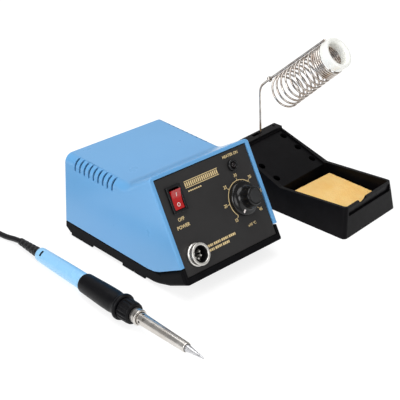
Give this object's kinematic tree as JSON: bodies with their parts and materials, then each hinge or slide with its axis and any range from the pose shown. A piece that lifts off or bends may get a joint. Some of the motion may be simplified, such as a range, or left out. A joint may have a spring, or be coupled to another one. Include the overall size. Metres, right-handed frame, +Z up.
{
  "type": "soldering iron station",
  "caption": "Soldering station: vented power unit with sloping control panel, pencil iron on a cord, and a bench stand with coil holder and wet sponge.",
  "frame": {"origin": "on the bench, under the middle of the bounding box of everything but the loose cord and its plug", "axes": "+Z up, +X to the power unit's right as its user faces it, -Y out of its front panel towards the user"},
  "size_m": [0.401, 0.3394, 0.1647],
  "materials": {
    "cover_blue": "satin light blue paint",
    "base_black": "satin black moulding",
    "panel_charcoal": "matt charcoal overlay",
    "foot_rubber": "matt",
    "screw_steel": "zinc plated",
    "switch_black": "satin",
    "rocker_red": "gloss translucent red",
    "plated_metal": "bright nickel plate",
    "lens_dark_red": "gloss, unlit",
    "knob_black": "satin",
    "core_steel": "laminated steel",
    "winding_amber": "taped copper winding",
    "board_green": "solder resist",
    "sink_aluminium": "plain",
    "stand_black": "satin black moulding",
    "sponge_yellow": "fine open cellulose",
    "nickel_wire": "bright nickel plated wire",
    "collar_white": "glazed white ceramic",
    "handle_blue": "gloss pale blue",
    "grip_black": "matt",
    "barrel_steel": "polished stainless tube",
    "tip_plated": "pale plated cone, grey tinned end",
    "ceramic_white": "unglazed ceramic",
    "cord_black": "soft black jacket"
  },
  "bodies": {
    "station": {"base_tray": "base_black", "top_cover": "cover_blue", "front_panel": "panel_charcoal", "rear_panel": "base_black", "foot_1": "foot_rubber", "foot_2": "foot_rubber", "foot_3": "foot_rubber", "foot_4": "foot_rubber", "case_screw_1": "screw_steel", "case_screw_2": "screw_steel", "case_screw_3": "screw_steel", "case_screw_4": "screw_steel", "switch_housing": "switch_black", "socket_shell": "plated_metal", "socket_insert": "switch_black", "socket_nut": "plated_metal", "socket_pin_1": "plated_metal", "socket_pin_2": "plated_metal", "socket_pin_3": "plated_metal", "socket_pin_4": "plated_metal", "socket_pin_5": "plated_metal", "led_holder": "switch_black", "led_lens": "lens_dark_red", "pot_body": "plated_metal", "pot_nut": "plated_metal", "mains_inlet": "switch_black", "fuse_holder": "switch_black", "transformer_core": "core_steel", "transformer_winding": "winding_amber", "circuit_board": "board_green", "heatsink": "sink_aluminium"},
    "rocker": {"power_rocker": "rocker_red"},
    "dial": {"temperature_knob": "knob_black", "pot_shaft": "plated_metal"},
    "fuse_cap": {"fuse_cap": "switch_black"},
    "stand": {"stand_body": "stand_black", "stand_base_plate": "stand_black", "holder_rod": "nickel_wire", "rod_bead": "nickel_wire", "holder_coil": "nickel_wire", "holder_collar": "collar_white"},
    "sponge": {"sponge": "sponge_yellow"},
    "iron": {"iron_handle": "handle_blue", "iron_grip": "grip_black", "guard_nut": "grip_black", "heating_element": "ceramic_white", "iron_boot": "cord_black", "iron_cord": "cord_black", "iron_cord_coil": "cord_black", "iron_cord_tail": "cord_black", "plug_body": "plated_metal"},
    "barrel": {"heater_barrel": "barrel_steel", "iron_tip": "tip_plated"},
    "barrel_nut": {"barrel_nut": "barrel_steel"},
    "plug_ring": {"plug_ring": "plated_metal"}
  },
  "joints": [
    {"name": "power_switch", "type": "hinge", "parent": "station", "child": "rocker", "pos_m": [-0.0818, -0.00639, 0.07719], "axis": [-1, 0, 0], "range_deg": [0, 20]},
    {"name": "temperature_dial", "type": "hinge", "parent": "station", "child": "dial", "pos_m": [-0.0108, -0.01938, 0.05782], "axis": [0, 0.8536, -0.521], "range_deg": [0, 270]},
    {"name": "fuse_cap_turn", "type": "hinge", "parent": "station", "child": "fuse_cap", "pos_m": [-0.0228, 0.109, 0.034], "axis": [0, 1, 0], "range_deg": [0, 45]},
    {"name": "stand_slide", "type": "slide", "parent": "station", "child": "stand", "axis": [1, 0, 0], "range_m": [0, 0.06]},
    {"name": "sponge_lift", "type": "slide", "parent": "stand", "child": "sponge", "axis": [0, 0, 1], "range_m": [0, 0.04]},
    {"name": "iron_lift", "type": "slide", "parent": "station", "child": "iron", "axis": [0, 0, 1], "range_m": [0, 0.15]},
    {"name": "barrel_pull", "type": "slide", "parent": "iron", "child": "barrel", "axis": [-0.0488, -0.9979, 0.0419], "range_m": [0, 0.07]},
    {"name": "barrel_nut_turn", "type": "hinge", "parent": "barrel", "child": "barrel_nut", "pos_m": [-0.1503, 0.0907, 0.00695], "axis": [-0.0488, -0.9979, 0.0419], "continuous": true},
    {"name": "plug_ring_turn", "type": "hinge", "parent": "iron", "child": "plug_ring", "pos_m": [-0.2238, 0.1412, 0.0083], "axis": [0.2419, -0.9703, 0], "continuous": true}
  ]
}
